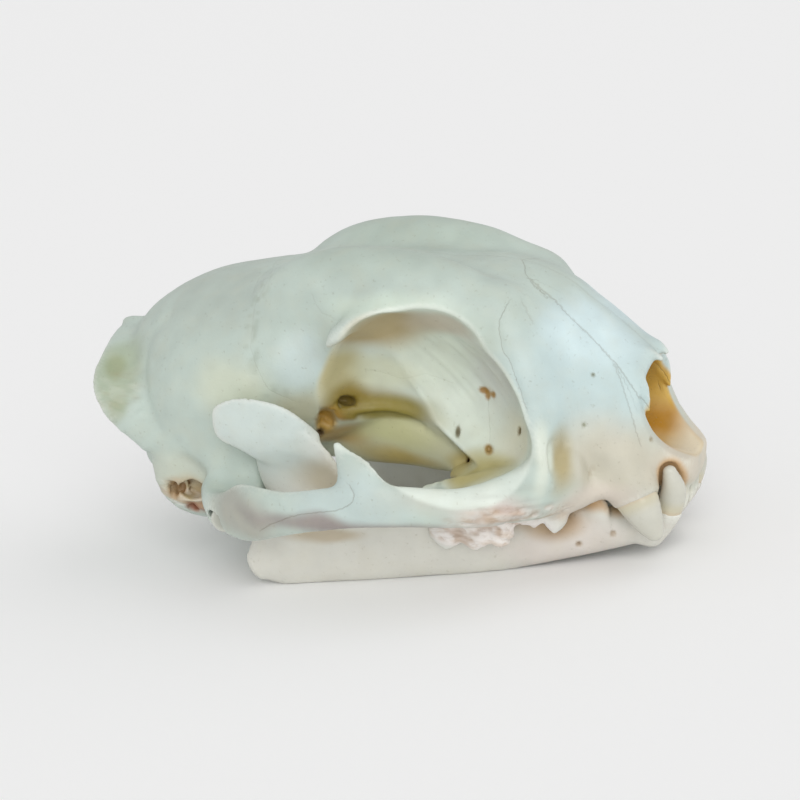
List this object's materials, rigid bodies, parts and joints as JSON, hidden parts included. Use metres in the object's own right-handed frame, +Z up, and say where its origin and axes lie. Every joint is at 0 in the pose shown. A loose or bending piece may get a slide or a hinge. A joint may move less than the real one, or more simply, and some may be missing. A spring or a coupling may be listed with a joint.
{
  "type": "caracal skull",
  "caption": "Cleaned skull of a young caracal with its lower jaw closed, standing on the jaw's lower edge, teeth in place.",
  "frame": {"origin": "on the floor, below the middle of the skull's length and breadth", "axes": "+X forward to the nose, +Y the animal's left, +Z up; the skull stands on the lower edge of its jaw, with the palate sloping down 6.8 degrees to the front"},
  "size_m": [0.1162, 0.0844, 0.0615],
  "materials": {
    "bone": "cleaned bone, pale grey green, soft sheen, fine pores and sutures",
    "jaw_bone": "cleaned bone, pinkish cream, soft sheen",
    "enamel": "cream tooth enamel, smooth, slightly glossy"
  },
  "bodies": {
    "root": {"braincase": "bone", "face": "bone", "zygomatic_arch_left": "bone", "zygomatic_arch_right": "bone", "auditory_bulla_left": "bone", "auditory_bulla_right": "bone", "mandible_left": "jaw_bone", "mandible_right": "jaw_bone", "canine_upper_left": "enamel", "canine_upper_right": "enamel", "canine_lower_left": "enamel", "canine_lower_right": "enamel"}
  },
  "joints": []
}
